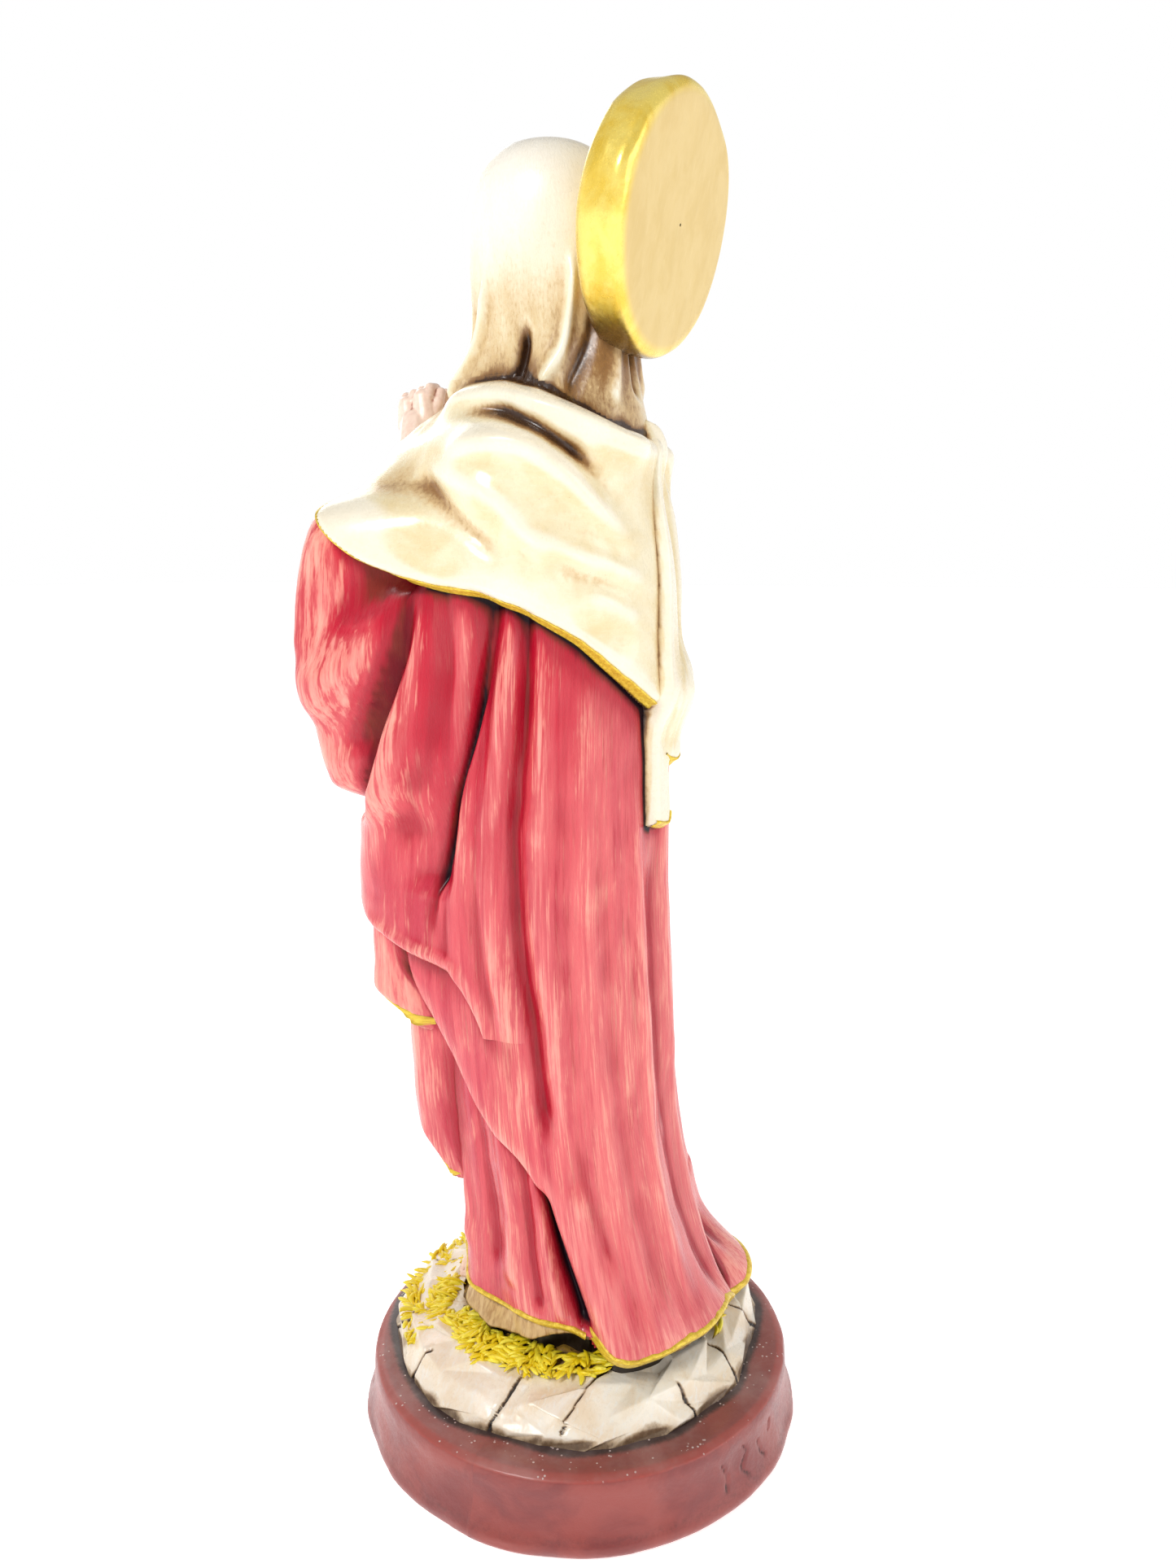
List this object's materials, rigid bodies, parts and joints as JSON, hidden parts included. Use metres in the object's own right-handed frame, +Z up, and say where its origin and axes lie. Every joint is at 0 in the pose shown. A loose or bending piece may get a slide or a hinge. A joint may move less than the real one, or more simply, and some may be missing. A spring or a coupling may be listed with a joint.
{
  "type": "madonna statue",
  "caption": "Painted cast statue of a veiled woman in prayer, with layered robe, shawl and disc halo, on a rocky mound and a round plinth.",
  "frame": {"origin": "centre of the plinth's resting face", "axes": "+Z up, the figure faces -Y, +X is the figure's left"},
  "size_m": [0.105, 0.105, 0.2966],
  "materials": {
    "plinth_paint": "satin dark red-brown paint over resin, with dust on the top and a worn bright rim",
    "felt": "thin dark green felt",
    "earth_paint": "dark brown wash over cast earth",
    "stone_paint": "ivory paint with a brown wash in the cracks",
    "straw_paint": "yellow paint with an olive wash",
    "skin_paint": "satin flesh paint",
    "lining_paint": "beige paint with a brown wash",
    "red_paint": "glossy raspberry red with dry-brushed salmon ridges and near-black folds",
    "ivory_paint": "pearly ivory with a brown-black wash in the creases",
    "hair_paint": "brown paint",
    "gold_halo": "gold lacquer, pale on the flat back and brown in the corners",
    "pin_steel": "plain wire pin",
    "gold_trim": "hand-painted gold line"
  },
  "bodies": {
    "root": {"plinth": "plinth_paint", "felt_pad": "felt", "ground": "earth_paint", "rocks": "stone_paint", "straw": "straw_paint", "foot_left": "skin_paint", "foot_right": "skin_paint", "under_robe": "lining_paint", "robe": "red_paint", "cloak": "red_paint", "cloak_swag": "red_paint", "cloak_train": "red_paint", "corner_upper": "red_paint", "corner_lower": "red_paint", "sleeve_left": "red_paint", "sleeve_right": "red_paint", "shawl": "ivory_paint", "shawl_tail_near": "ivory_paint", "shawl_tail_far": "ivory_paint", "veil": "ivory_paint", "hair": "hair_paint", "head": "skin_paint", "hand_left": "skin_paint", "hand_right": "skin_paint", "halo": "gold_halo", "halo_pin": "pin_steel", "robe_trim": "gold_trim", "cloak_trim": "gold_trim", "train_trim": "gold_trim", "corner_trims": "gold_trim", "shawl_trim": "gold_trim", "tail_trims": "gold_trim"}
  },
  "joints": []
}
